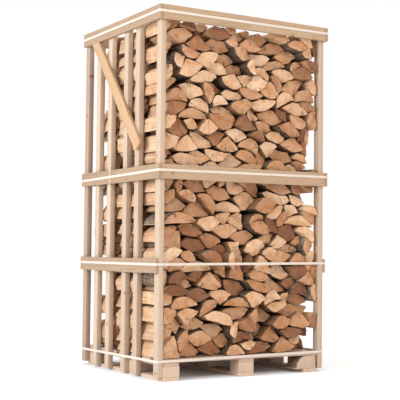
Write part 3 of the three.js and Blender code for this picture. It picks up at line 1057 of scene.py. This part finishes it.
class AddStraps(PieceOperator):
    """Add the straps and the loose end of the middle one"""

    bl_idname = "firewood.add_straps"
    bl_label = "Straps"

    # How far each strap is off level, in millimetres, at the corners from the front left on.
    SLOPES = {
        "top": (0, 2, 0, -3),
        "middle": (0, 9, 0, -14),
        "lower": (-2, 6, 0, -5),
        "bottom": (-1, 9, 0, -13),
    }

    def execute(self, context):
        finish = finish_named("embossed_strap", lambda: embossed_strap(context.scene.firewood_strap))
        for name, slope in self.SLOPES.items():
            self.ring(f"strap_{name}", np.array(slope) / 1000, finish)
        self.tail("strap_tail", finish)
        return {"FINISHED"}

    def ring(self, node, slope, finish):
        """A closed strap: a rectangle with round corners, whose height runs straight from one to the next."""
        low, high = box_of(node)
        thickness, width, radius = 0.0012, high[2] - low[2], 0.0046
        half = (high - low)[:2] / 2 - thickness / 2 - radius
        middle = (low + high) / 2
        bends = []
        for sx, sy, start in ((-1, -1, 180), (1, -1, 270), (1, 1, 0), (-1, 1, 90)):
            angle = np.radians(start + np.linspace(0, 90, 6))
            facing = np.c_[np.cos(angle), np.sin(angle)]
            bends.append((half * [sx, sy] + radius * facing, facing))
        path, outward = [], []
        for i, (bend, facing) in enumerate(bends):
            after = (i + 1) % len(bends)
            share = np.linspace(0, 1, 14)[1:-1, None]
            run = bend[-1] + (bends[after][0][0] - bend[-1]) * share
            rise = slope[i] + (slope[after] - slope[i]) * share[:, 0]
            path += [np.c_[bend, np.full(len(bend), slope[i])], np.c_[run, rise]]
            outward += [facing, np.repeat(facing[-1:], len(run), axis=0)]
        path, outward = np.vstack(path) + middle, np.vstack(outward)
        outward = np.c_[outward, np.zeros(len(outward))]
        points, faces, field = band(path, outward, width, thickness, True)
        piece = new_piece(f"{node}_band", points, facing_out(points, faces), [finish], fields={"band": field})
        stand_for(piece, node)

    def tail(self, node, finish):
        """The strap's loose end: a narrow band from top to bottom that curls outwards by 4 mm at its foot.

        The curl is 4 mm * ((share - 0.7) / 0.3)^2 over the last 30 % of its length.
        """
        low, high = box_of(node)
        share = np.linspace(0, 1, 14)
        curl = 0.004 * np.clip((share - 0.7) / 0.3, 0, 1) ** 2
        y = (low[1] + high[1]) / 2 + 0.0015 * np.sin(share * 4)
        path = np.c_[(low[0] + high[0]) / 2 - curl, y, high[2] + (low[2] - high[2]) * share]
        outward = np.tile([-1.0, 0.0, 0.0], (len(share), 1))
        points, faces, field = band(path, outward, high[1] - low[1], 0.0009, False)
        piece = new_piece(f"{node}_band", points, facing_out(points, faces), [finish], fields={"band": field})
        stand_for(piece, node)


class AddNails(PieceOperator):
    """Add the nail heads where rails cross posts and slats"""

    bl_idname = "firewood.add_nails"
    bl_label = "Nails"

    # Each crossing has two nails: how far up the rail they are, as a share, and how far aside.
    SIDE_PAIR = ((0.2, -0.009), (0.82, 0.010))
    FRONT_PAIR = ((0.22, -0.004), (0.8, 0.004))

    def execute(self, context):
        finish = finish_named("nail_steel", lambda: nail_steel(context.scene.firewood_strap))
        rng = np.random.default_rng(5)
        for side, facing in zip(SIDES, (-1, 1)):
            spots = []
            for level in ("top", "middle", "lower"):
                low, high = box_of(f"{side}_{level}_rail")
                for batten in BATTENS:
                    middle = sum(box_of(f"{side}_{batten}")) / 2
                    for share, step in self.SIDE_PAIR:
                        spots.append((0.0, middle[1] + step, low[2] + (high[2] - low[2]) * share))
            low, high = box_of(f"{side}_top_rail")
            self.heads(f"nails_{side}", spots, 0, facing, (low if facing < 0 else high)[0], finish, rng)
        spots = []
        for level in ("top", "middle"):
            low, high = box_of(f"front_{level}_rail")
            for side in SIDES:
                middle = sum(box_of(f"{side}_front_post")) / 2
                for share, step in self.FRONT_PAIR:
                    spots.append((middle[0] + step, 0.0, low[2] + (high[2] - low[2]) * share))
        self.heads("nails_front", spots, 1, -1, box_of("front_top_rail")[0][1], finish, rng)
        return {"FINISHED"}

    def heads(self, name, spots, axis, sign, face, finish, rng):
        """Closed nail heads on the face at `face` along the axis, each up to a few millimetres off its spot.

        A head is two rings of ten points, 3.4 mm and 2.6 mm in radius, and a middle on each side.
        """
        facing = np.zeros(3)
        facing[axis] = sign
        around = np.radians(np.arange(10) * 36)
        first = np.array([facing[1], -facing[0], 0.0])
        circle = np.cos(around)[:, None] * first + np.sin(around)[:, None] * [0.0, 0.0, 1.0]
        foot, top = -0.0005, 0.0009
        head = np.vstack([facing * foot + circle * 0.0034, facing * top + circle * 0.0026,
                          facing * foot, facing * (top + 0.0002)])
        quads, fans = middled_tube(2, len(around))
        shape = facing_out(head, quads.tolist() + fans.tolist())
        points, faces = [], []
        for spot in spots:
            place = np.array(spot) + rng.normal(0, 0.0015, 3)
            place[axis] = face
            faces += [[corner + len(points) * len(head) for corner in part] for part in shape]
            points.append(place + head)
        piece = new_piece(name, np.vstack(points), faces, [finish])
        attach(piece, "root")


class AddStage(bpy.types.Operator):
    """Add the floor, the light and the camera"""

    bl_idname = "firewood.add_stage"
    bl_label = "Stage"

    def execute(self, context):
        s = context.scene.firewood_stage
        self.floor(s)
        self.lights(context, s)
        self.camera(context, s)
        return {"FINISHED"}

    def floor(self, s):
        """A round floor that rises far off: z = 14 * smooth((r - 16) / 22), smooth(s) = s^2 (3 - 2 s)."""
        radius = np.r_[np.linspace(0.5, 16, 12), np.linspace(17, 38, 22)]
        around = 96
        turn = np.arange(around) * (2 * math.pi / around)
        share = np.clip((radius - 16) / 22, 0, 1)
        height = 14 * share**2 * (3 - 2 * share)
        r, t = np.meshgrid(radius, turn, indexing="ij")
        z = np.broadcast_to(height[:, None], r.shape)
        points = np.stack([r * np.cos(t), r * np.sin(t), z], axis=-1).reshape(-1, 3)
        *quads, middle, _ = tube_faces(len(radius), around)
        faces = [face[::-1] for face in (*quads, middle)]
        floor = new_piece("studio_floor", points, faces, [floor_paint(s)])

    def lights(self, context, s):
        """A soft white sky, a key light from the front and a wide fill light from the slatted side."""
        world = bpy.data.worlds.new("soft_sky")
        world.use_nodes = True
        sky = world.node_tree.nodes["Background"]
        sky.inputs["Color"].default_value = (1.0, 0.99, 0.98, 1.0)
        sky.inputs["Strength"].default_value = s.sky
        context.scene.world = world
        places = {
            "key_light": ((0.6, -6.4, 5.4), 2.6, s.key, (1.0, 1.0, 1.0)),
            "fill_light": ((-6.5, -1.5, 3.0), 3.5, s.fill, (0.86, 1.0, 1.12)),
        }
        for name, (place, size, power, colour) in places.items():
            data = bpy.data.lights.new(name, "AREA")
            data.energy, data.size, data.color = power, size, colour
            lamp = bpy.data.objects.new(name, data)
            lamp.location = place
            lamp.rotation_euler = (Vector((0, 0, 1.0)) - Vector(place)).to_track_quat("-Z", "Y").to_euler()
            context.scene.collection.objects.link(lamp)

    def camera(self, context, s):
        """A long lens from the front left, a little below the middle and looking slightly up."""
        place = Vector((-3.1824, -5.3036, 0.7231))
        heading, pitch, roll = (math.radians(a) for a in (30.865, 2.698, 0.591))
        flat = math.cos(pitch)
        ahead = Vector((math.sin(heading) * flat, math.cos(heading) * flat, math.sin(pitch)))
        level = ahead.cross(Vector((0, 0, 1))).normalized()
        upright = level.cross(ahead)
        right = level * math.cos(roll) + upright * math.sin(roll)
        up = upright * math.cos(roll) - level * math.sin(roll)
        data = bpy.data.cameras.new("camera")
        data.lens, data.sensor_width = s.lens, 36.0
        data.clip_end = 200.0
        camera = bpy.data.objects.new("camera", data)
        camera.matrix_world = Matrix.Translation(place) @ Matrix((right, up, -ahead)).transposed().to_4x4()
        context.scene.collection.objects.link(camera)
        context.scene.camera = camera
        context.scene.view_settings.view_transform = "Standard"


class FirewoodPanel(bpy.types.Panel):
    """The crate's pieces, in the order in which they are added"""

    bl_idname = "VIEW3D_PT_firewood"
    bl_label = "Firewood crate"
    bl_space_type = "VIEW_3D"
    bl_region_type = "UI"
    bl_category = "Firewood"

    def draw(self, context):
        for key, settings in SETTINGS.items():
            group = getattr(context.scene, key)
            box = self.layout.box()
            for name in settings.__annotations__:
                box.prop(group, name)
        for operator in OPERATORS:
            self.layout.operator(operator.bl_idname)


SETTINGS = {
    "firewood_timber": TimberSettings,
    "firewood_logs": LogSettings,
    "firewood_strap": StrapSettings,
    "firewood_stage": StageSettings,
}
OPERATORS = (AddUprights, AddRails, AddBraces, AddPallet, AddLogs, AddStraps, AddNails, AddStage)


def register():
    for kind in (*SETTINGS.values(), *OPERATORS, FirewoodPanel):
        bpy.utils.register_class(kind)
    for key, settings in SETTINGS.items():
        setattr(bpy.types.Scene, key, PointerProperty(type=settings))


def unregister():
    for key in SETTINGS:
        delattr(bpy.types.Scene, key)
    for kind in reversed((*SETTINGS.values(), *OPERATORS, FirewoodPanel)):
        bpy.utils.unregister_class(kind)


def main():
    register()
    for operator in OPERATORS:
        getattr(bpy.ops.firewood, operator.bl_idname.split(".")[1])()


if __name__ == "__main__":
    main()
